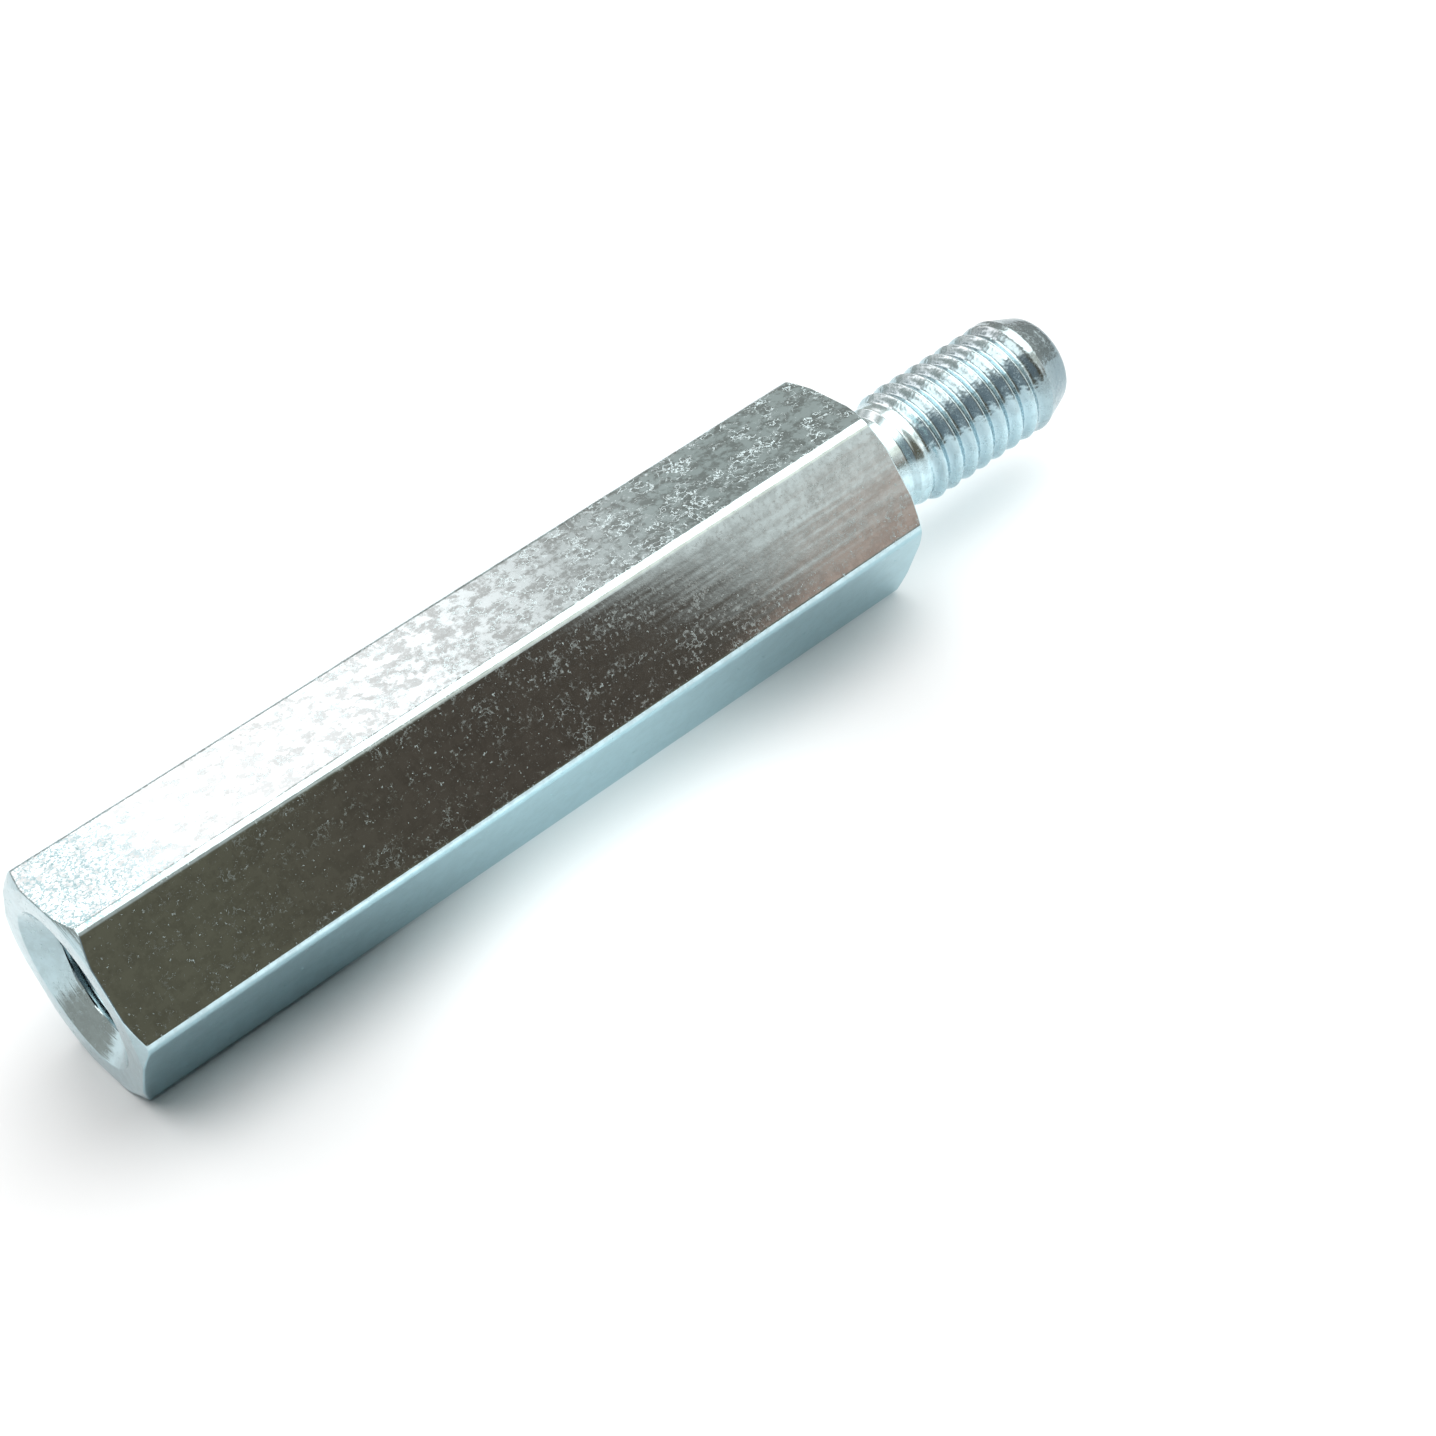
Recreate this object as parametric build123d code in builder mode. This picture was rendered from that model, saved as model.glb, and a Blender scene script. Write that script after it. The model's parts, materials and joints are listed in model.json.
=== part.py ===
"""Hexagonal male-female threaded spacer, one turned piece, lying on one of its flats.

The axis runs along X, from the tapped end at -X to the stud at +X.
"""
import os
from math import radians, sqrt, tan

from build123d import *

# Hexagon bar
across_flats = 8.0
body_length = 35.0
bar_edge_radius = 0.5

# Turned corner chamfers, measured from the end faces
tapped_rim_diameter = 8.15
shoulder_rim_diameter = 8.15
chamfer_angle = 30.0

# Tapped hole
tapping_diameter = 4.25
tapping_depth = 13.0
drill_point_angle = 118.0
countersink_diameter = 6.3
countersink_angle = 100.0

# Stud, at the outside of its thread, with a plain neck behind it
thread_diameter = 5.0
stud_length = 10.3
neck_diameter = 3.9
neck_length = 2.5
thread_lead_angle = 35.0
tip_diameter = 3.6
tip_angle = 22.0
tip_edge_radius = 0.6

# One overrun lets every cut pass the surface that it starts from
overrun = 1.0

# Places along the axis and across it
overall_length = body_length + stud_length
tapped_face_x = -overall_length / 2
shoulder_x = tapped_face_x + body_length
stud_end_x = tapped_face_x + overall_length
axis_height = across_flats / 2

# The chamfer cones reach past the bar's corners
corner_radius = across_flats / sqrt(3) + overrun
chamfer_slope = tan(radians(chamfer_angle))
tapped_cone_depth = (corner_radius - tapped_rim_diameter / 2) * chamfer_slope
shoulder_cone_depth = (corner_radius - shoulder_rim_diameter / 2) * chamfer_slope

# Lengths that follow from the stud's and the drill's angles
lead_length = (thread_diameter - neck_diameter) / 2 / tan(radians(thread_lead_angle))
tip_length = (thread_diameter - tip_diameter) / 2 / tan(radians(tip_angle))
drill_point_length = tapping_diameter / 2 / tan(radians(drill_point_angle / 2))

spacer_axis = Axis((0, 0, axis_height), (1, 0, 0))
tapped_end = Plane(origin=(tapped_face_x, 0, axis_height), x_dir=(0, 1, 0), z_dir=(1, 0, 0))
tapped_mouth = Plane(origin=(tapped_face_x, 0, axis_height), x_dir=(0, 1, 0), z_dir=(-1, 0, 0))
half_section = Plane(origin=(0, 0, axis_height), x_dir=(1, 0, 0), z_dir=(0, -1, 0))

with BuildPart() as spacer:
    # Hexagon bar with the soft long edges of drawn stock
    with BuildSketch(tapped_end) as bar_section:
        RegularPolygon(radius=across_flats / 2, side_count=6, major_radius=False)
        fillet(bar_section.vertices(), radius=bar_edge_radius)
    extrude(amount=body_length)

    # Both ends turned to a cone that takes the corners off
    with BuildSketch(half_section):
        with BuildLine():
            Polyline(
                (tapped_face_x, 0),
                (tapped_face_x, tapped_rim_diameter / 2),
                (tapped_face_x + tapped_cone_depth, corner_radius),
                (shoulder_x - shoulder_cone_depth, corner_radius),
                (shoulder_x, shoulder_rim_diameter / 2),
                (shoulder_x, 0),
                close=True,
            )
        make_face()
    revolve(axis=spacer_axis, mode=Mode.INTERSECT)

    # Stud: plain neck, lead-in to the thread, threaded length, tapered tip with a rounded edge
    with BuildSketch(half_section) as stud_section:
        with BuildLine():
            Polyline(
                (shoulder_x - overrun, 0),
                (shoulder_x - overrun, neck_diameter / 2),
                (shoulder_x + neck_length - lead_length, neck_diameter / 2),
                (shoulder_x + neck_length, thread_diameter / 2),
                (stud_end_x - tip_length, thread_diameter / 2),
                (stud_end_x, tip_diameter / 2),
                (stud_end_x, 0),
                close=True,
            )
        make_face()
        tip_edge = stud_section.vertices().group_by(Axis.X)[-1].sort_by(Axis.Y)[-1]
        fillet(tip_edge, radius=tip_edge_radius)
    revolve(axis=spacer_axis)

    # Countersunk hole at tapping size, with the drill's point at its bottom
    with Locations(tapped_mouth):
        CounterSinkHole(
            radius=tapping_diameter / 2,
            counter_sink_radius=countersink_diameter / 2,
            depth=tapping_depth,
            counter_sink_angle=countersink_angle,
        )
    with BuildSketch(half_section):
        with BuildLine():
            Polyline(
                (tapped_face_x + tapping_depth - overrun, 0),
                (tapped_face_x + tapping_depth - overrun, tapping_diameter / 2),
                (tapped_face_x + tapping_depth, tapping_diameter / 2),
                (tapped_face_x + tapping_depth + drill_point_length, 0),
                close=True,
            )
        make_face()
    revolve(axis=spacer_axis, mode=Mode.SUBTRACT)

os.makedirs("parts", exist_ok=True)
spacer.part.label = "hex_spacer"
export_step(spacer.part, "parts/hex_spacer.step")
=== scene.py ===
"""Looks of a hexagonal male-female threaded spacer, laid out as an add-on and run as a script.

Its axis runs along X, from the tapped end at -X to the stud at +X, and it lies on one of its flats.
Lengths are metres in the frame of the packed part, and millimetres inside the materials.
A section is drawn as depth from an end face and radius.
"""

import json
import math
from collections import namedtuple

import bmesh
import bpy
from mathutils import Matrix, Vector


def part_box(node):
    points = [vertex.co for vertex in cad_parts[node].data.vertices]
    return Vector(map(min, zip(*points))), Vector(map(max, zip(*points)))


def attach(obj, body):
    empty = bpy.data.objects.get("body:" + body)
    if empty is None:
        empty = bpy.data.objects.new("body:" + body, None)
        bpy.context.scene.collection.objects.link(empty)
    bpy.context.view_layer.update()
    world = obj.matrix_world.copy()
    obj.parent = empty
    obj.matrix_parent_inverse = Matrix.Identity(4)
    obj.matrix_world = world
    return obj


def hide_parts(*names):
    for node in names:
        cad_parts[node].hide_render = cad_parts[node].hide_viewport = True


bl_info = {
    "name": "Threaded Spacer",
    "version": (1, 0, 0),
    "blender": (4, 5, 0),
    "location": "View3D > Sidebar > Spacer",
    "description": "Builds a zinc-plated hexagonal threaded spacer and a plain studio round it",
    "category": "Add Mesh",
}

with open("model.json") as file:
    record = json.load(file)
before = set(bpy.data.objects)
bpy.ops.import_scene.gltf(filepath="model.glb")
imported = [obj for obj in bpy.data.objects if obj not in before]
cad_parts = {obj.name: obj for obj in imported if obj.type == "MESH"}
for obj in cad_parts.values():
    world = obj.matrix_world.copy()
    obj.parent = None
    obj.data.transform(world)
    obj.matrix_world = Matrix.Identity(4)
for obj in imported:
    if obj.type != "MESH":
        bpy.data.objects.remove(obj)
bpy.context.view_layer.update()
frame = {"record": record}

# Names in the packed part
NODE = "hex_spacer"
BODY = "root"

# Places and sizes read from the packed part
MM = 0.001
box_low, box_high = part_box(NODE)
mounts = {mount["name"]: mount for mount in frame["record"]["mounts"]}
TAPPED_FACE_X = box_low.x
STUD_END_X = box_high.x
SHOULDER_X = mounts["shoulder"]["pos_m"][0]
ACROSS_FLATS = box_high.z - box_low.z
AXIS_Z = (box_low.z + box_high.z) / 2
TAPPING_RADIUS = mounts["tapped_hole"]["dims"]["r_mm"] * MM
BORE_LENGTH = mounts["tapped_hole"]["dims"]["length_mm"] * MM
# The tapped hole's mount lies this far inside its wall
MOUNT_INSET = 1.0 * MM
BORE_BOTTOM_X = mounts["tapped_hole"]["pos_m"][0] - MOUNT_INSET + BORE_LENGTH
THREAD_RADIUS = mounts["stud"]["dims"]["r_mm"] * MM
THREAD_LENGTH = mounts["stud"]["dims"]["length_mm"] * MM
NECK_END_X = mounts["stud"]["pos_m"][0] - THREAD_LENGTH / 2
TIP_START_X = mounts["stud"]["pos_m"][0] + THREAD_LENGTH / 2

# How finely the surfaces are divided
SIDES = 6
CORNER_STEPS = 8
FLAT_STEPS = 12
COLUMNS = SIDES * (CORNER_STEPS + FLAT_STEPS)
SOFT_STEPS = 3
TIP_STEPS = 10
STUD_ROWS_PER_TURN = 32
BORE_ROWS_PER_TURN = 16
WELD_DISTANCE = 0.001 * MM
SHARP_ANGLE = math.radians(50)

# Material slots of the spacer's mesh
DRAWN, TURNED, THREADED = range(3)

# Share of the thread's fade that lies before the taper
FADE_BEFORE_TAPER_SHARE = 0.7
# Share of the edge softness over which the thread blends into its cones
BLEND_SHARE = 0.25


class BodySettings(bpy.types.PropertyGroup):
    """Sizes of the hexagon bar and its turned ends"""

    across_flats: bpy.props.FloatProperty(
        name="Across Flats", description="Distance between opposite flats",
        default=ACROSS_FLATS, unit="LENGTH", precision=5)
    edge_radius: bpy.props.FloatProperty(
        name="Edge Radius", description="Radius of the drawn bar's long edges",
        default=0.5 * MM, unit="LENGTH", precision=5)
    rim_diameter: bpy.props.FloatProperty(
        name="Rim Diameter", description="Circle where the corner chamfers start on an end face",
        default=8.15 * MM, unit="LENGTH", precision=5)
    chamfer_angle: bpy.props.FloatProperty(
        name="Chamfer Angle", description="Angle of the corner chamfers to the end face",
        default=math.radians(30), subtype="ANGLE")
    softness: bpy.props.FloatProperty(
        name="Edge Softness", description="Radius of the plated edges left by turning",
        default=0.07 * MM, unit="LENGTH", precision=5)
    sink_diameter: bpy.props.FloatProperty(
        name="Countersink Diameter", description="Mouth of the countersink",
        default=6.3 * MM, unit="LENGTH", precision=5)
    sink_angle: bpy.props.FloatProperty(
        name="Countersink Angle", description="Included angle of the countersink",
        default=math.radians(100), subtype="ANGLE")
    drill_angle: bpy.props.FloatProperty(
        name="Drill Point Angle", description="Included angle of the hole's bottom",
        default=math.radians(118), subtype="ANGLE")


class ThreadSettings(bpy.types.PropertyGroup):
    """Sizes of the stud, its neck and both threads"""

    pitch: bpy.props.FloatProperty(
        name="Pitch", description="Distance from one thread crest to the next",
        default=0.8 * MM, unit="LENGTH", precision=5)
    crest_loss: bpy.props.FloatProperty(
        name="Crest Loss", description="How far the stud's crests lie below the nominal radius",
        default=0.075 * MM, unit="LENGTH", precision=5)
    depth: bpy.props.FloatProperty(
        name="Thread Depth", description="Height of the thread from root to crest",
        default=0.28 * MM, unit="LENGTH", precision=5)
    crest_share: bpy.props.FloatProperty(
        name="Crest Share", description="Share of the pitch that is crest",
        default=0.10, subtype="FACTOR", min=0, max=1)
    root_share: bpy.props.FloatProperty(
        name="Root Share", description="Share of the pitch that is root",
        default=0.20, subtype="FACTOR", min=0, max=1)
    crest_round: bpy.props.FloatProperty(
        name="Crest Rounding", description="Share of the depth over which a crest is rounded",
        default=0.6, subtype="FACTOR", min=0, max=1)
    root_round: bpy.props.FloatProperty(
        name="Root Rounding", description="Share of the depth over which a root is rounded",
        default=0.6, subtype="FACTOR", min=0, max=1)
    rise: bpy.props.FloatProperty(
        name="Thread Rise", description="Length over which the thread grows out of the neck",
        default=1.0 * MM, unit="LENGTH", precision=5)
    fade: bpy.props.FloatProperty(
        name="Thread Fade", description="Length over which the grooves end in the taper",
        default=1.4 * MM, unit="LENGTH", precision=5)
    phase: bpy.props.FloatProperty(
        name="Phase", description="Where in its turn the stud's thread starts, as a share of a turn",
        default=0.1875, subtype="FACTOR", min=0, max=1)
    neck_diameter: bpy.props.FloatProperty(
        name="Neck Diameter", description="Plain neck between the shoulder and the thread",
        default=3.9 * MM, unit="LENGTH", precision=5)
    lead_angle: bpy.props.FloatProperty(
        name="Lead Angle", description="Slope of the first crests up from the neck",
        default=math.radians(35), subtype="ANGLE")
    tip_diameter: bpy.props.FloatProperty(
        name="Tip Diameter", description="End of the stud's taper, before its edge is rounded",
        default=3.6 * MM, unit="LENGTH", precision=5)
    tip_radius: bpy.props.FloatProperty(
        name="Tip Radius", description="Rounding between the taper and the end of the stud",
        default=0.6 * MM, unit="LENGTH", precision=5)
    runout: bpy.props.FloatProperty(
        name="Tap Runout", description="Plain end of the tapped hole, below its thread",
        default=2.0 * MM, unit="LENGTH", precision=5)


class FinishSettings(bpy.types.PropertyGroup):
    """Colours and gloss of the zinc plating, with the painted shade of its low flats, threads and hole"""

    zinc: bpy.props.FloatVectorProperty(
        name="Zinc", description="Bright plating", default=(0.61, 0.80, 0.86), size=3, subtype="COLOR")
    dull_zinc: bpy.props.FloatVectorProperty(
        name="Dull Zinc", description="Plating where it lies in small clouds and pits",
        default=(0.33, 0.42, 0.44), size=3, subtype="COLOR")
    # Painted shade: the colour of the bar's low flats, darker and bluer as if they mirrored the floor in
    # shadow
    low_flat_shade: bpy.props.FloatVectorProperty(
        name="Low Flat Shade", description="Painted shade on the bar's low flats",
        default=(0.31, 0.51, 0.57), size=3, subtype="COLOR")
    # Painted shade: the colour over the stud's thread, darkest down its grooves
    groove_shade: bpy.props.FloatVectorProperty(
        name="Groove Shade", description="Painted shade over the thread, darkest down its grooves",
        default=(0.40, 0.55, 0.61), size=3, subtype="COLOR")
    crackled_zinc: bpy.props.FloatVectorProperty(
        name="Crackled Zinc", description="Fine lines in the plating near the tapped end",
        default=(0.24, 0.40, 0.44), size=3, subtype="COLOR")
    # Painted shade in the hole past its mouth; the same colour also darkens the stud's tip
    hole_shade_and_tip_tone: bpy.props.FloatVectorProperty(
        name="Hole Shade And Tip", description="Painted shade in the hole, and a darker colour on the stud's tip",
        default=(0.10, 0.12, 0.13), size=3, subtype="COLOR")
    gloss: bpy.props.FloatProperty(
        name="Roughness", description="Roughness of the bright plating",
        default=0.05, subtype="FACTOR", min=0, max=1)


class StudioSettings(bpy.types.PropertyGroup):
    """Floor, light and camera"""

    floor_colour: bpy.props.FloatVectorProperty(
        name="Floor", description="Colour of the floor",
        default=(0.86, 0.87, 0.87), size=3, subtype="COLOR")
    floor_roughness: bpy.props.FloatProperty(
        name="Floor Roughness", description="Roughness of the floor",
        default=0.7, subtype="FACTOR", min=0, max=1)
    floor_size: bpy.props.FloatProperty(
        name="Floor Size", description="Side of the floor", default=6.0, unit="LENGTH")
    room: bpy.props.FloatProperty(
        name="Room", description="Strength of the room and its cards in the metal", default=1.0, min=0)
    light: bpy.props.FloatProperty(
        name="Light", description="Strength of the soft light on the floor", default=4.5, min=0)
    fill: bpy.props.FloatProperty(
        name="Fill", description="Strength of the low lights", default=1.35, min=0)
    fill_colour: bpy.props.FloatVectorProperty(
        name="Fill Colour", description="Colour of the low lights", default=(0.90, 0.99, 1.0),
        size=3, subtype="COLOR")
    fill_distance: bpy.props.FloatProperty(
        name="Fill Distance", description="From a low light to its aim",
        default=150 * MM, unit="LENGTH", precision=5)
    fill_radius: bpy.props.FloatProperty(
        name="Fill Radius", description="Radius of a low light's own disc",
        default=3.75 * MM, unit="LENGTH", precision=5)
    fill_angle: bpy.props.FloatProperty(
        name="Fill Cone", description="How wide a low light's cone is",
        default=math.radians(7.1), subtype="ANGLE")
    fill_softness: bpy.props.FloatProperty(
        name="Fill Softness", description="Share of a low light's cone that is soft",
        default=1.0, subtype="FACTOR", min=0, max=1)
    light_angle: bpy.props.FloatProperty(
        name="Light Size", description="How wide the soft light is, seen from the floor",
        default=math.radians(105), subtype="ANGLE")
    aim: bpy.props.FloatVectorProperty(
        name="Aim", description="Point that the camera looks at",
        default=(4.386 * MM, 0.0, -2.344 * MM), size=3, subtype="TRANSLATION", precision=5)
    distance: bpy.props.FloatProperty(
        name="Distance", description="From the aim to the camera",
        default=113.49 * MM, unit="LENGTH", precision=5)
    azimuth: bpy.props.FloatProperty(
        name="Azimuth", description="The camera's heading, from +Y towards +X",
        default=math.radians(31.998), subtype="ANGLE")
    elevation: bpy.props.FloatProperty(
        name="Elevation", description="The camera's height above the horizon",
        default=math.radians(38.632), subtype="ANGLE")
    roll: bpy.props.FloatProperty(
        name="Roll", description="The camera's turn about its own axis",
        default=math.radians(-13.088), subtype="ANGLE")
    lens: bpy.props.FloatProperty(
        name="Lens", description="Focal length on a 36 mm sensor", default=74.256, unit="CAMERA")


class Signal:
    """One socket of a node tree. Sums and products of signals add Math nodes to the tree."""

    def __init__(self, maker, socket):
        self.maker = maker
        self.socket = socket

    def math(self, operation, *values):
        return self.maker.node("ShaderNodeMath", {"operation": operation}, dict(enumerate((self, *values))))

    def __add__(self, other):
        return self.math("ADD", other)

    __radd__ = __add__

    def __mul__(self, other):
        return self.math("MULTIPLY", other)

    def __sub__(self, other):
        return self.math("SUBTRACT", other)

    def __rsub__(self, other):
        return self.maker.node("ShaderNodeMath", {"operation": "SUBTRACT"}, {0: other, 1: self})

    def __truediv__(self, other):
        return self.math("DIVIDE", other)


class NodeMaker:
    """Adds nodes to one tree."""

    def __init__(self, tree):
        self.tree = tree

    def node(self, kind, settings=None, inputs=None, output=0):
        """A node with its settings and the values or links of its sockets, as the signal of an output."""
        made = self.tree.nodes.new(kind)
        for name, value in (settings or {}).items():
            setattr(made, name, value)
        for name, value in (inputs or {}).items():
            self.plug(made.inputs[name], value)
        return Signal(self, made.outputs[output]) if len(made.outputs) else made

    def plug(self, socket, value):
        if isinstance(value, Signal):
            self.tree.links.new(value.socket, socket)
        else:
            socket.default_value = value

    def coordinate(self, place, axis):
        """One coordinate of a place, by the letter of its axis."""
        return self.node("ShaderNodeSeparateXYZ", None, {0: place}, output=axis)

    def mix(self, factor, first, second):
        """A colour between two, by a factor."""
        return self.node(
            "ShaderNodeMix", {"data_type": "RGBA"}, {0: factor, 6: first, 7: second}, output=2)

    def ramp(self, value, low, high, to_low=0.0, to_high=1.0, way="SMOOTHSTEP", clamp=True):
        """A value carried from one range to another, and held there by a clamp."""
        return self.node("ShaderNodeMapRange", {"interpolation_type": way, "clamp": clamp}, {
            "Value": value, "From Min": low, "From Max": high, "To Min": to_low, "To Max": to_high})


def opaque(colour):
    """A colour with full alpha."""
    return (*colour, 1.0)


# Threads

WALL_SOCKETS = (
    ("Start", "NodeSocketFloat"), ("End", "NodeSocketFloat"), ("Axis Height", "NodeSocketFloat"),
    ("Pitch", "NodeSocketFloat"), ("Turns", "NodeSocketInt"), ("Rows Per Turn", "NodeSocketInt"),
    ("Columns", "NodeSocketInt"), ("Crest Radius", "NodeSocketFloat"), ("Root Radius", "NodeSocketFloat"),
    ("Crest Share", "NodeSocketFloat"), ("Root Share", "NodeSocketFloat"), ("Phase", "NodeSocketFloat"),
    ("Crest Rounding", "NodeSocketFloat"), ("Root Rounding", "NodeSocketFloat"),
    ("Rise Start", "NodeSocketFloat"), ("Rise End", "NodeSocketFloat"),
    ("Fade Start", "NodeSocketFloat"), ("Fade End", "NodeSocketFloat"),
    ("Near Start", "NodeSocketFloat"), ("Near End", "NodeSocketFloat"),
    ("Near Radius From", "NodeSocketFloat"), ("Near Radius To", "NodeSocketFloat"),
    ("Far Start", "NodeSocketFloat"), ("Far End", "NodeSocketFloat"),
    ("Far Radius From", "NodeSocketFloat"), ("Far Radius To", "NodeSocketFloat"),
    ("Blend", "NodeSocketFloat"), ("Inside", "NodeSocketBool"), ("Material", "NodeSocketMaterial"),
)


def threaded_wall_tree():
    """A grid wound round the axis, its rows along the helix, held between two end planes and two cones."""
    tree = bpy.data.node_groups.new("Threaded Wall", "GeometryNodeTree")
    for label, kind in WALL_SOCKETS:
        tree.interface.new_socket(name=label, in_out="INPUT", socket_type=kind)
    tree.interface.new_socket(name="Geometry", in_out="OUTPUT", socket_type="NodeSocketGeometry")
    maker = NodeMaker(tree)
    source = tree.nodes.new("NodeGroupInput")
    size = {label: Signal(maker, source.outputs[label]) for label, kind in WALL_SOCKETS}

    grid = maker.node("GeometryNodeMeshGrid", None, {
        "Size X": 1.0, "Size Y": 1.0,
        "Vertices X": size["Columns"] + 1, "Vertices Y": size["Turns"] * size["Rows Per Turn"] + 1})
    place = maker.node("GeometryNodeInputPosition")
    round_share = maker.coordinate(place, "X") + 0.5
    row_share = maker.coordinate(place, "Y") + 0.5

    # Along the axis: the helix starts one pitch early, and both ends are cut square
    wound = size["Start"] + (row_share * size["Turns"] - 1 + round_share) * size["Pitch"]
    along = maker.node("ShaderNodeClamp", None, {"Value": wound, "Min": size["Start"], "Max": size["End"]})

    # Across the axis: the thread's own section, held by the cones at the near and the far end
    turn = ((along - size["Start"]) / size["Pitch"] - round_share + size["Phase"]).math("FRACT")
    from_crest = (turn - 0.5).math("ABSOLUTE") * 2
    flank = maker.ramp(
        from_crest, size["Crest Share"], 1 - size["Root Share"], 1.0, 0.0, "LINEAR", clamp=False)
    rooted = flank.math("SMOOTH_MAX", 0.0, size["Root Rounding"])
    height = rooted.math("SMOOTH_MIN", 1.0, size["Crest Rounding"])
    grown = height * maker.ramp(along, size["Rise Start"], size["Rise End"])
    filled = grown + (1 - grown) * maker.ramp(along, size["Fade Start"], size["Fade End"])
    thread = size["Root Radius"] + (size["Crest Radius"] - size["Root Radius"]) * filled
    near = maker.ramp(along, size["Near Start"], size["Near End"],
                      size["Near Radius From"], size["Near Radius To"], "LINEAR")
    far = maker.ramp(along, size["Far Start"], size["Far End"],
                     size["Far Radius From"], size["Far Radius To"], "LINEAR")
    cut = thread.math("SMOOTH_MIN", far, size["Blend"])
    radius = maker.node("GeometryNodeSwitch", {"input_type": "FLOAT"}, {
        "Switch": size["Inside"],
        "False": cut.math("SMOOTH_MIN", near, size["Blend"]),
        "True": cut.math("SMOOTH_MAX", near, size["Blend"])})

    angle = round_share * math.tau
    wall = maker.node("GeometryNodeSetPosition", None, {
        "Geometry": grid,
        "Position": maker.node("ShaderNodeCombineXYZ", None, {
            "X": along,
            "Y": radius * angle.math("COSINE"),
            "Z": radius * angle.math("SINE") + size["Axis Height"]})})
    turned = maker.node("GeometryNodeFlipFaces", None, {"Mesh": wall, "Selection": size["Inside"]})
    whole = maker.node("GeometryNodeRealizeInstances", None, {"Geometry": turned})
    dressed = maker.node("GeometryNodeSetMaterial", None, {"Geometry": whole, "Material": size["Material"]})
    maker.node("NodeGroupOutput", None, {"Geometry": dressed})
    return tree


def threaded_wall(tree, name, sizes):
    """One wall from the tree, as a plain mesh."""
    holder = bpy.data.objects.new(name, bpy.data.meshes.new(name))
    bpy.context.scene.collection.objects.link(holder)
    modifier = holder.modifiers.new(name, "NODES")
    modifier.node_group = tree
    for socket in tree.interface.items_tree:
        if socket.name in sizes:
            modifier[socket.identifier] = sizes[socket.name]
    bpy.context.view_layer.update()
    evaluated = holder.evaluated_get(bpy.context.evaluated_depsgraph_get())
    mesh = bpy.data.meshes.new_from_object(evaluated)
    holder.modifiers.remove(modifier)
    bpy.data.objects.remove(holder)
    return mesh


def whole_turns(start, end, pitch):
    """Turns of a grid that covers a length, with the one that the helix starts early."""
    return math.ceil((end - start) / pitch) + 1


def stud_wall(tree, thread, body, material):
    """The stud from its shoulder to the rounding of its tip."""
    crest = THREAD_RADIUS - thread.crest_loss
    neck = thread.neck_diameter / 2
    lead_length = (THREAD_RADIUS - neck) / math.tan(thread.lead_angle)
    tip_depth, tip_radius = tip_edge(thread)[0]
    end = STUD_END_X - tip_depth
    fade_start = TIP_START_X - thread.fade * FADE_BEFORE_TAPER_SHARE
    return threaded_wall(tree, "stud_wall", {
        "Start": SHOULDER_X, "End": end, "Axis Height": AXIS_Z,
        "Pitch": thread.pitch, "Turns": whole_turns(SHOULDER_X, STUD_END_X, thread.pitch),
        "Rows Per Turn": STUD_ROWS_PER_TURN, "Columns": COLUMNS,
        "Crest Radius": crest, "Root Radius": crest - thread.depth,
        "Crest Share": thread.crest_share, "Root Share": thread.root_share, "Phase": thread.phase,
        "Crest Rounding": thread.crest_round, "Root Rounding": thread.root_round,
        "Rise Start": NECK_END_X - thread.rise / 2, "Rise End": NECK_END_X + thread.rise / 2,
        "Fade Start": fade_start, "Fade End": fade_start + thread.fade,
        "Near Start": NECK_END_X - lead_length, "Near End": NECK_END_X,
        "Near Radius From": neck, "Near Radius To": THREAD_RADIUS,
        "Far Start": TIP_START_X, "Far End": end,
        "Far Radius From": THREAD_RADIUS, "Far Radius To": tip_radius,
        "Blend": body.softness * BLEND_SHARE, "Inside": False, "Material": material,
    })


def bore_wall(tree, thread, body, material):
    """The tapped hole from its countersink to the start of the drill point."""
    mouth = sink_edge(body)[-1]
    start = TAPPED_FACE_X + mouth[0]
    sink_length = (mouth[1] - TAPPING_RADIUS) / math.tan(body.sink_angle / 2)
    thread_end = BORE_BOTTOM_X - thread.runout
    return threaded_wall(tree, "bore_wall", {
        "Start": start, "End": BORE_BOTTOM_X, "Axis Height": AXIS_Z,
        "Pitch": thread.pitch, "Turns": whole_turns(start, BORE_BOTTOM_X, thread.pitch),
        "Rows Per Turn": BORE_ROWS_PER_TURN, "Columns": COLUMNS,
        "Crest Radius": THREAD_RADIUS, "Root Radius": TAPPING_RADIUS,
        "Crest Share": thread.crest_share, "Root Share": thread.root_share, "Phase": 0.0,
        "Crest Rounding": thread.root_round, "Root Rounding": thread.crest_round,
        "Rise Start": start - thread.pitch, "Rise End": start,
        "Fade Start": BORE_BOTTOM_X, "Fade End": BORE_BOTTOM_X + thread.pitch,
        "Near Start": start, "Near End": start + sink_length,
        "Near Radius From": mouth[1], "Near Radius To": TAPPING_RADIUS,
        "Far Start": thread_end - thread.pitch, "Far End": thread_end,
        "Far Radius From": THREAD_RADIUS, "Far Radius To": TAPPING_RADIUS,
        "Blend": 0.0, "Inside": True, "Material": material,
    })


# Body

def bar_outline(body):
    """Points round the hexagon bar, with its long edges rounded, from one corner's arc to the next."""
    inner_corner = (body.across_flats / 2 - body.edge_radius) / math.cos(math.pi / SIDES)
    arcs = []
    for side in range(SIDES):
        corner = math.tau * side / SIDES
        centre = Vector((math.cos(corner), math.sin(corner))) * inner_corner
        turns = [2 * step / CORNER_STEPS - 1 for step in range(CORNER_STEPS + 1)]
        sweep = [math.pi / SIDES * turn + corner for turn in turns]
        arcs.append([centre + Vector((math.cos(a), math.sin(a))) * body.edge_radius for a in sweep])
    outline = []
    for arc, following in zip(arcs, arcs[1:] + arcs[:1]):
        outline += arc
        outline += [arc[-1].lerp(following[0], step / FLAT_STEPS) for step in range(1, FLAT_STEPS)]
    return outline


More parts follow.
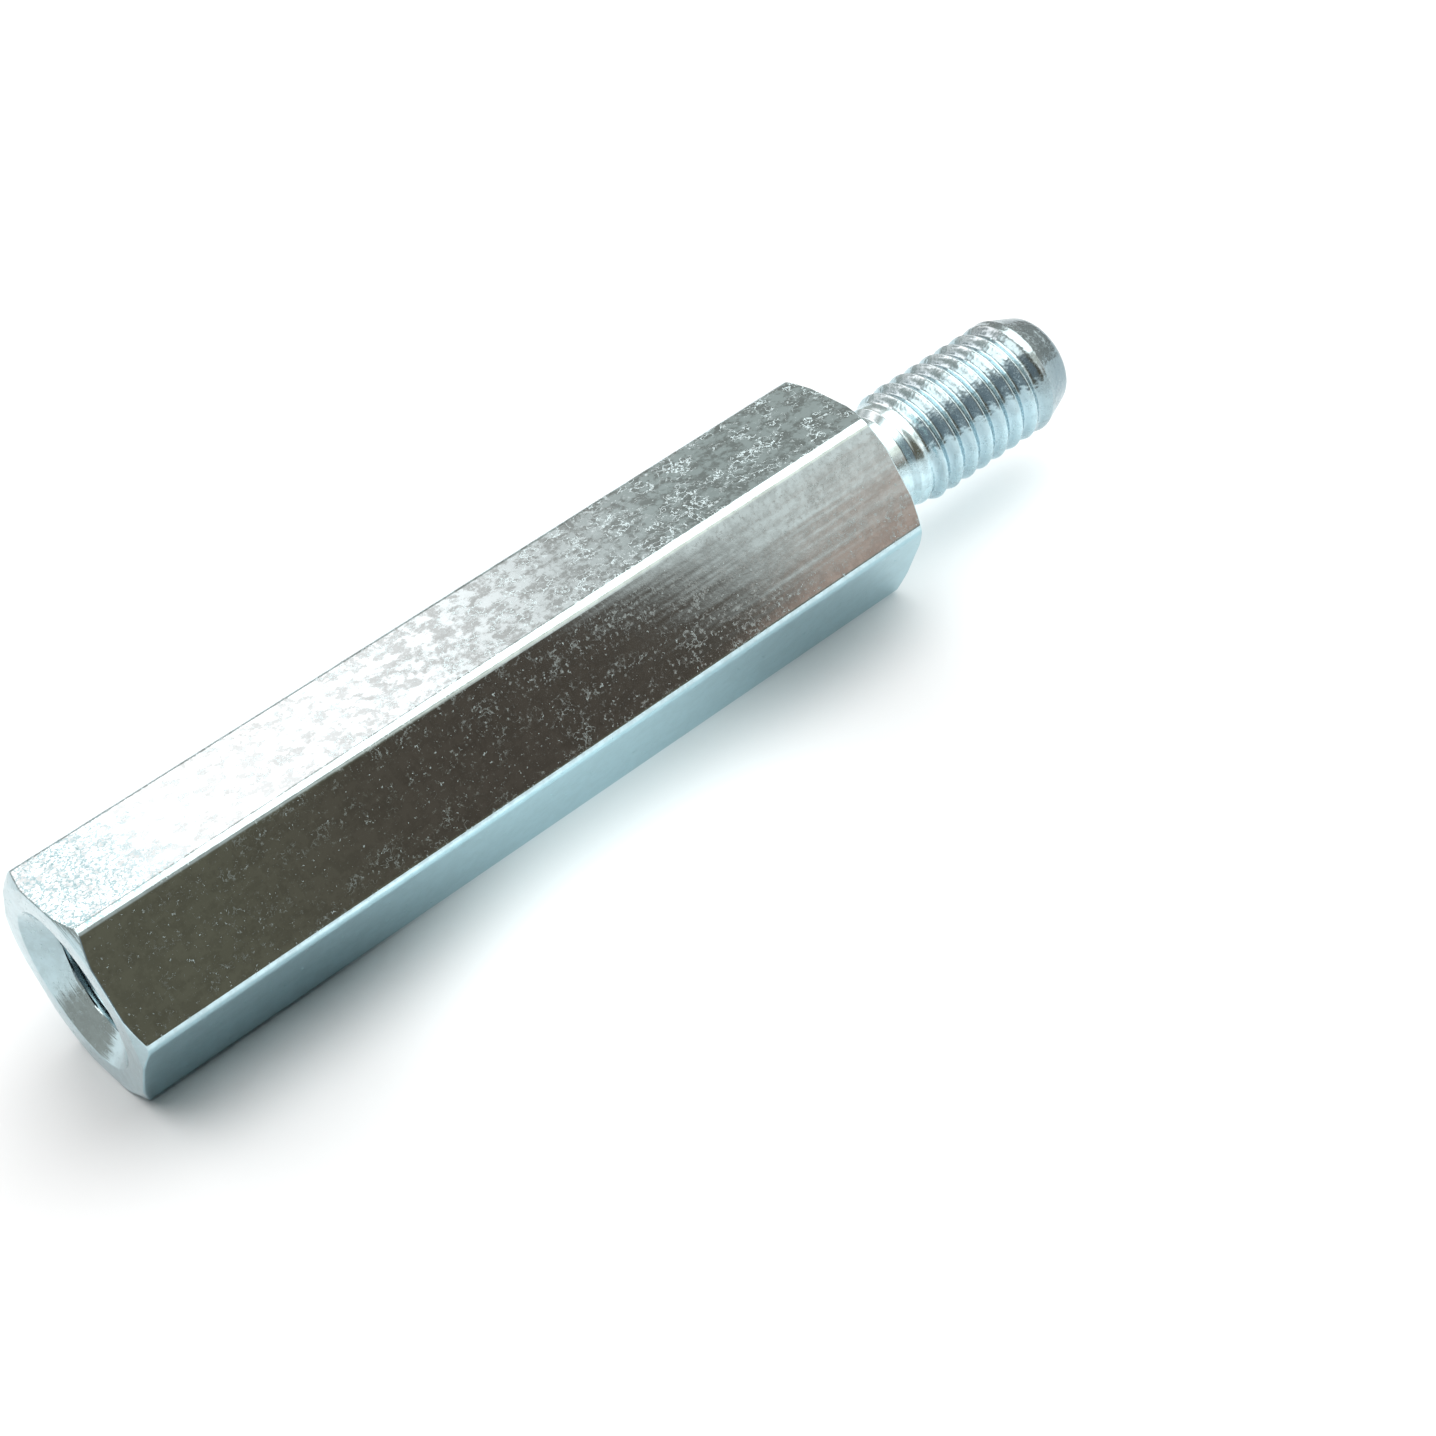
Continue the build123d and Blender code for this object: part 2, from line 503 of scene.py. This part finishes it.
def soft_arc(centre, radius, first, last, steps=SOFT_STEPS):
    """Section points on a soft edge: an arc about a centre, by its normal's angle from the end face's."""
    angles = [first + (last - first) * step / steps for step in range(steps + 1)]
    return [(centre[0] - radius * math.cos(a), centre[1] + radius * math.sin(a)) for a in angles]


def bar_end(body, reach):
    """Section of a turned end where the outline reaches so far: end face, chamfer cone, side of the bar."""
    soft, angle = body.softness, body.chamfer_angle
    rim = body.rim_diameter / 2
    on_face = (soft, min(rim - soft * math.tan(angle / 2), reach - soft))
    cone_depth = ((reach - soft - rim) * math.sin(angle) + soft) / math.cos(angle)
    on_side = (max(soft, cone_depth), reach - soft)
    return soft_arc(on_face, soft, 0, angle) + soft_arc(on_side, soft, angle, math.pi / 2)


def sink_edge(body):
    """Section of the soft edge between the tapped face and the countersink, from the face inwards."""
    turn = math.pi / 2 - body.sink_angle / 2
    centre = (body.softness, body.sink_diameter / 2 + body.softness * math.tan(turn / 2))
    return soft_arc(centre, body.softness, 0, -turn)


def tip_edge(thread):
    """Section of the rounding between the stud's taper and its end face, from the taper to the face."""
    slope = math.atan2(THREAD_RADIUS - thread.tip_diameter / 2, STUD_END_X - TIP_START_X)
    turn = math.pi / 2 - slope
    centre = (thread.tip_radius, thread.tip_diameter / 2 - thread.tip_radius * math.tan(turn / 2))
    return soft_arc(centre, thread.tip_radius, turn, 0, TIP_STEPS)


def ring(bm, x, points):
    """Vertices round the axis at one place along it."""
    return [bm.verts.new((x, p.x, AXIS_Z + p.y)) for p in points]


def circle(radius):
    """Points round the axis in the columns of the threads."""
    angles = [math.tau * column / COLUMNS for column in range(COLUMNS)]
    return [Vector((math.cos(a), math.sin(a))) * radius for a in angles]


def bridge(bm, first, second, slot):
    """Faces between two rings."""
    for i in range(COLUMNS):
        face = bm.faces.new((first[i], first[i - 1], second[i - 1], second[i]))
        face.material_index = slot


def cap(bm, rim, x, slot):
    """Faces from a ring to a point on the axis."""
    centre = bm.verts.new((x, 0, AXIS_Z))
    for i in range(COLUMNS):
        face = bm.faces.new((rim[i], rim[i - 1], centre))
        face.material_index = slot


def add_bar(bm, body, thread):
    """The hexagon bar from the countersink's edge round to the neck."""
    outline = bar_outline(body)
    sections = [bar_end(body, p.length) for p in outline]
    rows = len(sections[0])

    def bar_ring(face_x, way, row):
        points = [p.normalized() * section[row][1] for p, section in zip(outline, sections)]
        made = ring(bm, face_x, points)
        for vertex, section in zip(made, sections):
            vertex.co.x += way * section[row][0]
        return made

    rings = [ring(bm, TAPPED_FACE_X + depth, circle(radius)) for depth, radius in reversed(sink_edge(body))]
    rings += [bar_ring(TAPPED_FACE_X, 1, row) for row in range(rows)]
    side = len(rings) - 1
    rings += [bar_ring(SHOULDER_X, -1, row) for row in reversed(range(rows))]
    rings.append(ring(bm, SHOULDER_X, circle(thread.neck_diameter / 2)))
    for index, (first, second) in enumerate(zip(rings, rings[1:])):
        drawn = abs(index - side) <= SOFT_STEPS
        bridge(bm, first, second, DRAWN if drawn else TURNED)


def add_ends(bm, body, thread):
    """The stud's end face with its rounding, and the drill point at the bottom of the hole."""
    rings = [ring(bm, STUD_END_X - depth, circle(radius)) for depth, radius in tip_edge(thread)]
    for first, second in zip(rings, rings[1:]):
        bridge(bm, first, second, THREADED)
    cap(bm, rings[-1], STUD_END_X, TURNED)
    bottom = ring(bm, BORE_BOTTOM_X, circle(TAPPING_RADIUS))
    cap(bm, bottom, BORE_BOTTOM_X + TAPPING_RADIUS / math.tan(body.drill_angle / 2), TURNED)


def add_wall(bm, mesh, sink_end):
    """A threaded wall, turned as far as the countersink's end and threaded past it."""
    known = len(bm.faces)
    bm.from_mesh(mesh)
    bm.faces.ensure_lookup_table()
    for face in bm.faces[known:]:
        face.material_index = TURNED if face.calc_center_median().x < sink_end else THREADED
    bpy.data.meshes.remove(mesh)


def spacer_mesh(body, thread, materials):
    """The whole spacer as one closed mesh."""
    tree = threaded_wall_tree()
    bm = bmesh.new()
    add_bar(bm, body, thread)
    add_ends(bm, body, thread)
    sink_end = TAPPED_FACE_X + (body.sink_diameter / 2 - TAPPING_RADIUS) / math.tan(body.sink_angle / 2)
    for wall in (stud_wall, bore_wall):
        add_wall(bm, wall(tree, thread, body, materials[THREADED]), sink_end)
    bmesh.ops.remove_doubles(bm, verts=bm.verts, dist=WELD_DISTANCE)
    bmesh.ops.recalc_face_normals(bm, faces=bm.faces)
    open_edges = [edge for edge in bm.edges if not edge.is_manifold]
    if open_edges:
        raise RuntimeError(f"the spacer's mesh has {len(open_edges)} open edges")
    mesh = bpy.data.meshes.new("spacer")
    bm.to_mesh(mesh)
    bm.free()
    for material in materials:
        mesh.materials.append(material)
    mesh.shade_smooth()
    mesh.set_sharp_from_angle(angle=SHARP_ANGLE)
    return mesh


# Finish

# A noise: scale per millimetre, detail and roughness
Grain = namedtuple("Grain", "scale detail roughness", defaults=(3.0, 0.6))
# Etched flecks: their noise, the spans of it and of the clouds that bring them out, and their strength
Flecks = namedtuple("Flecks", "grain span clouds share")
# Etched lines: their noise, their width in it, their patches' noise and the span that brings those out
Lines = namedtuple("Lines", "grain width patches span")
# A finish: its marks, their height in millimetres, its tone, its wear and what it adds to the roughness
Finish = namedtuple("Finish", "marks height tone wear roughness")

# Places of the spacer in millimetres
TAPPED_FACE_MM = TAPPED_FACE_X / MM
NECK_END_MM = NECK_END_X / MM
TIP_START_MM = TIP_START_X / MM
CREST_MM = THREAD_RADIUS / MM
AXIS_MM = AXIS_Z / MM
TOP_MM = ACROSS_FLATS / MM

# Marks of the tools: how densely they lie along and across the axis, and where the stud's lumps start
DRAWING_STRETCH = (0.06, 1.3, 1.3)
DRAWING_GRAIN = Grain(1.0, 2.0)
RINGS_ALONG = 5.0
RINGS_ACROSS = 7.0
TURNING_GRAIN = Grain(1.0)
ROLLING_GRAIN = Grain(2.1, 2.0)
ROLLING_SPAN = (-0.6, 0.4)

# Tones of the bar, with painted shade on its low flats: darker and bluer, as if they mirrored the floor in
# shadow. The low flats' span is in millimetres past the axis's height
LOW_SHADE_SPAN = (0.08, -0.05)
LOW_SHADE_SHARE = 0.7
TURNED_SHARE = 0.50

# Painted shade of the threads: darker over the stud's thread, most down its grooves, and darker in the hole
# past its mouth; a darker tone on the tip. Spans in millimetres past the crest, the neck's end, the tapped
# face, the middle of the length and the start of the taper
GROOVE_SHADE_SPAN = (-0.10, -0.32)
THREAD_SHADE_SPAN = (-0.4, 0.5)
HOLE_SHADE_SPAN = (0.9, 1.6)
HOLE_SHADE_HALF_SPAN = (0.0, -1.0)
TIP_SPAN = (-1.0, 0.2)
GROOVE_SHADE_SHARE = 0.6
FLANK_SHADE_SHARE = 0.4
TIP_SHARE = 0.45

# Wear of the top flat: span in millimetres past its height
TOP_SPAN = (-0.2, -0.02)

# Clouds and blotches of dull plating
CLOUD_STRETCH = (0.25, 1.0, 1.0)
CLOUD_GRAIN = Grain(1.2, 4.0)
CLOUD_SPAN = (0.42, 0.66)
CLOUD_SHARE = 0.20
MOTTLE_GRAIN = Grain(2.2, 5.0, 0.65)
MOTTLE_HEIGHT = 0.0010
BLOTCH_SPAN = (0.42, 0.58)
BLOTCH_SHARE = 0.30
WORN_BLOTCH_SHARE = 0.60

# Etched flecks and lines: a line runs along a noise's middle value, and this share of its width is full
NOISE_MIDDLE = 0.5
FULL_LINE_SHARE = 1 / 3
FINE_FLECKS = Flecks(Grain(6.0, 3.0), span=(0.54, 0.72), clouds=(0.30, 0.60), share=0.5)
BROAD_FLECKS = Flecks(Grain(3.4, 4.0, 0.7), span=(0.52, 0.70), clouds=(0.38, 0.58), share=0.7)
SPECKS = Flecks(Grain(8.0, 2.0), span=(0.68, 0.75), clouds=None, share=0.7)
STROKES = Lines(Grain(4.0, 2.0), width=0.05, patches=Grain(4.4, 2.0), span=(0.60, 0.74))
STROKE_SHARE = 0.8
WORMS = Lines(Grain(2.4, 3.0), width=0.028, patches=Grain(1.1, 3.0), span=(0.47, 0.62))
WORM_CLOUD_SPAN = (0.36, 0.56)
WORM_SHARE = 0.45
WORN_WORM_SHARE = 0.50
WORN_PATCH_SHIFT = 0.06
WORN_CLOUD_SHIFT = 0.08

# Crackle of the worn flat: span in millimetres past the tapped face
CRACKLE_GRAIN = Grain(4.0, 2.0)
CRACKLE_WIDTH = 0.060
CRACKLE_SPAN = (7.0, 1.5)
CRACKLE_CLOUD_SPAN = (0.48, 0.68)
CRACKLE_CLOUD_SHIFT = 0.3
CRACKLE_SHARE = 0.5

# What dull and etched plating add to the roughness
DULL_ROUGHNESS = 0.03
ETCHED_ROUGHNESS = 0.46


def past(place, span):
    """A span by its distances past a place."""
    return [place + distance for distance in span]


def stretched(maker, place, scale):
    """A place with its coordinates multiplied, so that a noise is drawn out."""
    return maker.node("ShaderNodeVectorMath", {"operation": "MULTIPLY"}, {0: place, 1: scale})


def noise(maker, place, grain):
    return maker.node("ShaderNodeTexNoise", None, {
        "Vector": place, "Scale": grain.scale, "Detail": grain.detail, "Roughness": grain.roughness})


def along_and_radius(maker, place):
    """The place along the axis and its distance from the axis."""
    x, y, z = [maker.coordinate(place, axis) for axis in "XYZ"]
    return x, (y * y + (z - AXIS_MM).math("POWER", 2.0)).math("SQRT")


def drawing_marks(maker, place):
    """Streaks left along the bar by the drawing die."""
    return noise(maker, stretched(maker, place, DRAWING_STRETCH), DRAWING_GRAIN)


def turning_marks(maker, place):
    """Rings left by the turning tool about the axis."""
    along, radius = along_and_radius(maker, place)
    profile = {"X": along * RINGS_ALONG, "Y": radius * RINGS_ACROSS}
    return noise(maker, maker.node("ShaderNodeCombineXYZ", None, profile), TURNING_GRAIN)


def rolling_marks(maker, place):
    """Lumps left along the stud's thread."""
    threaded = maker.ramp(maker.coordinate(place, "X"), *past(NECK_END_MM, ROLLING_SPAN))
    return noise(maker, place, ROLLING_GRAIN) * threaded


def low_flat_shade_tone(maker, place, plating, finish):
    """Painted shade: a darker, bluer colour on the bar's low flats, as if they mirrored the floor in
    shadow.
    """
    # Painted shade, by height: below the axis the flats take the darker, bluer colour
    low = maker.ramp(maker.coordinate(place, "Z"), *past(AXIS_MM, LOW_SHADE_SPAN))
    return maker.mix(low * LOW_SHADE_SHARE, plating, opaque(finish.low_flat_shade))


def turned_tone(maker, place, plating, finish):
    """Duller plating all over."""
    return maker.mix(TURNED_SHARE, plating, opaque(finish.dull_zinc))


def thread_shade_tone(maker, place, plating, finish):
    """Painted shade over the stud's thread, darkest down its grooves, and in the hole past its mouth; a
    darker tip.
    """
    along, radius = along_and_radius(maker, place)
    # Painted shade: darker over the whole thread, darkest down its grooves
    deep_shade = maker.ramp(radius, *past(CREST_MM, GROOVE_SHADE_SPAN))
    threaded = maker.ramp(along, *past(NECK_END_MM, THREAD_SHADE_SPAN))
    groove_shaded = maker.mix((deep_shade * GROOVE_SHADE_SHARE + FLANK_SHADE_SHARE) * threaded, plating, opaque(finish.groove_shade))
    # Painted shade in the hole past its mouth; below, the stud's tip darkens towards its end
    inside = maker.ramp(along, *past(TAPPED_FACE_MM, HOLE_SHADE_SPAN)) * maker.ramp(along, *HOLE_SHADE_HALF_SPAN)
    tip = maker.ramp(along, *past(TIP_START_MM, TIP_SPAN)) * TIP_SHARE
    return maker.mix(inside + tip, groove_shaded, opaque(finish.hole_shade_and_tip_tone))


def no_wear(maker, place):
    return 0.0


def top_wear(maker, place):
    """The top flat, whose plating is the most worn."""
    return maker.ramp(maker.coordinate(place, "Z"), *past(TOP_MM, TOP_SPAN))


def contours(maker, field, width):
    """Thin lines where a noise passes its middle value."""
    return maker.ramp((field - NOISE_MIDDLE).math("ABSOLUTE"), width, width * FULL_LINE_SHARE)


def flecks(maker, place, clouds, layer):
    """Etched flecks, inside the clouds if the layer keeps to them."""
    spots = maker.ramp(noise(maker, place, layer.grain), *layer.span)
    if layer.clouds:
        spots = spots * maker.ramp(clouds, *layer.clouds)
    return spots * layer.share


def lines(maker, place, layer, shift=0.0):
    """Etched lines that come and go in patches. A shift brings more of the patches out."""
    patches = noise(maker, place, layer.patches) + shift
    return contours(maker, noise(maker, place, layer.grain), layer.width) * maker.ramp(patches, *layer.span)


def crackling(maker, place, clouds, worn):
    """Fine lines in the worn plating near the tapped end."""
    near_end = maker.ramp(maker.coordinate(place, "X"), *past(TAPPED_FACE_MM, CRACKLE_SPAN)) * worn
    cracks = contours(maker, noise(maker, place, CRACKLE_GRAIN), CRACKLE_WIDTH)
    return cracks * maker.ramp(clouds + near_end * CRACKLE_CLOUD_SHIFT, *CRACKLE_CLOUD_SPAN) * near_end


def etching(maker, place, clouds, worn, crackle):
    """How far the plating is etched by flecks, strokes, worm-like lines and crackle."""
    strokes = lines(maker, place, STROKES) * (1 - worn) * STROKE_SHARE
    worms = lines(maker, place, WORMS, worn * WORN_PATCH_SHIFT) * maker.ramp(
        clouds + worn * WORN_CLOUD_SHIFT, *WORM_CLOUD_SPAN) * (worn * WORN_WORM_SHARE + WORM_SHARE)
    etched = flecks(maker, place, clouds, FINE_FLECKS)
    for layer in (
        flecks(maker, place, clouds, SPECKS), strokes, flecks(maker, place, clouds, BROAD_FLECKS) * worn,
        worms, crackle * CRACKLE_SHARE,
    ):
        etched = etched.math("MAXIMUM", layer)
    return etched


def plated_zinc(name, kind, finish):
    """Bright zinc plating over a machined surface, with dull clouds and etched flecks and lines."""
    material = bpy.data.materials.new(name)
    material.use_nodes = True
    material.node_tree.nodes.clear()
    maker = NodeMaker(material.node_tree)
    metres = maker.node("ShaderNodeTexCoord", output="Object")
    place = maker.node("ShaderNodeVectorMath", {"operation": "SCALE"}, {0: metres, "Scale": 1 / MM})
    worn = kind.wear(maker, place)
    clouds = noise(maker, stretched(maker, place, CLOUD_STRETCH), CLOUD_GRAIN)
    mottle = noise(maker, place, MOTTLE_GRAIN)
    crackle = crackling(maker, place, clouds, worn)
    etched = etching(maker, place, clouds, worn, crackle)
    blotches = maker.ramp(mottle, *BLOTCH_SPAN) * (worn * WORN_BLOTCH_SHARE + BLOTCH_SHARE)
    dull = (blotches + maker.ramp(clouds, *CLOUD_SPAN) * CLOUD_SHARE) * (1 - etched)
    plating = maker.mix(dull, opaque(finish.zinc), opaque(finish.dull_zinc))
    crackled = maker.mix(crackle, plating, opaque(finish.crackled_zinc))
    bump = maker.node("ShaderNodeBump", None, {
        "Strength": 1.0, "Distance": MM,
        "Height": kind.marks(maker, place) * kind.height + mottle * MOTTLE_HEIGHT}, output="Normal")
    shader = maker.node("ShaderNodeBsdfPrincipled", None, {
        "Base Color": kind.tone(maker, place, crackled, finish), "Metallic": 1.0,
        "Roughness": finish.gloss + kind.roughness + dull * DULL_ROUGHNESS + etched * ETCHED_ROUGHNESS,
        "Normal": bump})
    maker.node("ShaderNodeOutputMaterial", None, {"Surface": shader})
    return material


# In the order of the material slots
FINISHES = {
    "drawn_zinc": Finish(drawing_marks, height=0.004, tone=low_flat_shade_tone, wear=top_wear, roughness=0.0),
    "turned_zinc": Finish(turning_marks, height=0.012, tone=turned_tone, wear=no_wear, roughness=0.06),
    "threaded_zinc": Finish(rolling_marks, height=0.042, tone=thread_shade_tone, wear=no_wear, roughness=0.15),
}


def zinc_materials(finish):
    return [plated_zinc(name, kind, finish) for name, kind in FINISHES.items()]


# Studio

def heading(azimuth, elevation):
    """Direction by its angle from +Y towards +X and its height above the horizon, in degrees."""
    a, e = math.radians(azimuth), math.radians(elevation)
    return (math.sin(a) * math.cos(e), math.cos(a) * math.cos(e), math.sin(e))


# Each soft card of the studio: name, azimuth, elevation, radius and softness in degrees, colour
CARDS = (
    ("front wall", 195, 5, 44, 6, (0.150, 0.118, 0.080)),
    ("brown corner", 156.5, 17, 4.5, 4, (0.100, 0.068, 0.052)),
    ("dark doorway", 222, 22, 26, 10, (0.24, 0.26, 0.28)),
    ("grey wall", 144.3, 25.5, 11.1, 1.3, (0.92, 0.81, 0.75)),
    ("pink wall", 149.5, 12.9, 3.4, 1.2, (0.58, 0.37, 0.30)),
    ("side light", 127, 14, 10, 3, (1.9, 1.7, 1.6)),
    ("cream wall", 140, 38, 11, 5, (1.25, 1.10, 0.95)),
    ("back light", -2, 38, 22.2, 6.0, (2.60, 2.10, 2.00)),
    ("dark screen", -6, 29, 11, 5, (0.42, 0.40, 0.38)),
    ("top light", 90, 55, 30, 5, (3.4, 3.1, 2.9)),
    ("high light", -95, 58, 22, 5, (2.4, 2.2, 2.1)),
)
ROOM_COLOUR = (0.50, 0.46, 0.42)
# Azimuth and elevation of the soft light in degrees
SOFT_LIGHT = (40, 64)
# Each low light: name, azimuth and elevation in degrees, share of the fill, aim on the floor in millimetres
FILLS = (
    ("front_fill", 215, 22, 1.0, (-3, -4, 0)),
    ("stud_fill", 140, 28, 0.65, (17.5, -1.5, 0)),
)


def build_light(studio):
    """A room with soft cards, which the metal shows, and soft lights on the floor."""
    world = bpy.data.worlds.new("studio")
    bpy.context.scene.world = world
    world.use_nodes = True
    world.node_tree.nodes.clear()
    maker = NodeMaker(world.node_tree)
    towards = maker.node("ShaderNodeTexCoord", output="Generated")
    colour = opaque(ROOM_COLOUR)
    for name, azimuth, elevation, radius, softness, card in CARDS:
        facing = maker.node("ShaderNodeVectorMath", {"operation": "DOT_PRODUCT", "label": name},
                            {0: towards, 1: heading(azimuth, elevation)}, output="Value")
        edge = [math.cos(math.radians(radius + way * softness)) for way in (1, -1)]
        colour = maker.mix(maker.ramp(facing, *edge), colour, opaque(card))
    lamp = maker.node("ShaderNodeBackground", None, {"Color": colour, "Strength": studio.room})
    maker.node("ShaderNodeOutputWorld", None, {"Surface": lamp})
    world.cycles_visibility.diffuse = False

    sun = bpy.data.lights.new("soft_light", "SUN")
    sun.energy = studio.light
    sun.angle = studio.light_angle
    place_light(sun, Vector(heading(*SOFT_LIGHT)), Vector())

    for name, azimuth, elevation, share, aim in FILLS:
        spot = bpy.data.lights.new(name, "SPOT")
        spot.energy = studio.fill * share
        spot.color = studio.fill_colour
        spot.spot_size = studio.fill_angle
        spot.spot_blend = studio.fill_softness
        spot.shadow_soft_size = studio.fill_radius
        place_light(spot, Vector(heading(azimuth, elevation)) * studio.fill_distance, Vector(aim) * MM)


def place_light(data, reach, aim):
    """A lamp that is so far from its aim, looks at it, and doesn't show in the metal."""
    lamp = bpy.data.objects.new(data.name, data)
    lamp.matrix_world = Matrix.Translation(aim + reach) @ reach.to_track_quat("Z", "Y").to_matrix().to_4x4()
    lamp.visible_glossy = False
    bpy.context.scene.collection.objects.link(lamp)


def build_floor(studio):
    """A plain pale floor under the spacer."""
    mesh = bpy.data.meshes.new("floor")
    half = studio.floor_size / 2
    corners = [(x, y, box_low.z) for x, y in ((-half, -half), (half, -half), (half, half), (-half, half))]
    mesh.from_pydata(corners, [], [range(4)])
    material = bpy.data.materials.new("pale_floor")
    material.use_nodes = True
    shader = material.node_tree.nodes["Principled BSDF"]
    shader.inputs["Base Color"].default_value = opaque(studio.floor_colour)
    shader.inputs["Roughness"].default_value = studio.floor_roughness
    mesh.materials.append(material)
    floor = bpy.data.objects.new("floor", mesh)
    bpy.context.scene.collection.objects.link(floor)


# Millimetres, as the camera's data measures it
SENSOR_WIDTH = 36.0


def build_camera(studio):
    """A camera at the photograph's viewing angle."""
    forward = Vector(heading(math.degrees(studio.azimuth), -math.degrees(studio.elevation)))
    level = Vector((math.cos(studio.azimuth), -math.sin(studio.azimuth), 0))
    right = Matrix.Rotation(-studio.roll, 3, forward) @ level
    up = right.cross(forward)
    turn = Matrix((right, up, -forward)).transposed().to_4x4()
    data = bpy.data.cameras.new("camera")
    data.lens = studio.lens
    data.sensor_width = SENSOR_WIDTH
    data.clip_start = MM
    camera = bpy.data.objects.new("camera", data)
    camera.matrix_world = Matrix.Translation(Vector(studio.aim) - forward * studio.distance) @ turn
    bpy.context.scene.collection.objects.link(camera)
    bpy.context.scene.camera = camera


class BuildSpacer(bpy.types.Operator):
    """Build the spacer with its threads and its plating"""

    bl_idname = "spacer.build_spacer"
    bl_label = "Build Spacer"

    def execute(self, context):
        scene = context.scene
        materials = zinc_materials(scene.spacer_finish)
        mesh = spacer_mesh(scene.spacer_body, scene.spacer_thread, materials)
        spacer = bpy.data.objects.new("spacer", mesh)
        scene.collection.objects.link(spacer)
        weights = spacer.modifiers.new("even_normals", "WEIGHTED_NORMAL")
        weights.keep_sharp = True
        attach(spacer, BODY)
        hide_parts(NODE)
        return {"FINISHED"}


class BuildStudio(bpy.types.Operator):
    """Build the floor, the light and the camera"""

    bl_idname = "spacer.build_studio"
    bl_label = "Build Studio"

    def execute(self, context):
        studio = context.scene.spacer_studio
        build_light(studio)
        build_floor(studio)
        build_camera(studio)
        context.scene.view_settings.view_transform = "Standard"
        return {"FINISHED"}


class SpacerPanel(bpy.types.Panel):
    """Sizes, finish and studio of the spacer"""

    bl_idname = "VIEW3D_PT_spacer"
    bl_label = "Threaded Spacer"
    bl_space_type = "VIEW_3D"
    bl_region_type = "UI"
    bl_category = "Spacer"

    def draw(self, context):
        for group in SETTINGS:
            box = self.layout.box()
            box.label(text=group.__doc__)
            settings = getattr(context.scene, SETTINGS[group])
            for name in group.__annotations__:
                box.prop(settings, name)
        for operator in OPERATORS:
            self.layout.operator(operator.bl_idname)


SETTINGS = {
    BodySettings: "spacer_body",
    ThreadSettings: "spacer_thread",
    FinishSettings: "spacer_finish",
    StudioSettings: "spacer_studio",
}
OPERATORS = (BuildSpacer, BuildStudio)
CLASSES = (*SETTINGS, *OPERATORS, SpacerPanel)


def register():
    for cls in CLASSES:
        bpy.utils.register_class(cls)
    for group, name in SETTINGS.items():
        setattr(bpy.types.Scene, name, bpy.props.PointerProperty(type=group))


def unregister():
    for name in SETTINGS.values():
        delattr(bpy.types.Scene, name)
    for cls in reversed(CLASSES):
        bpy.utils.unregister_class(cls)


def main():
    register()
    bpy.ops.spacer.build_spacer()
    bpy.ops.spacer.build_studio()


if __name__ == "__main__":
    main()
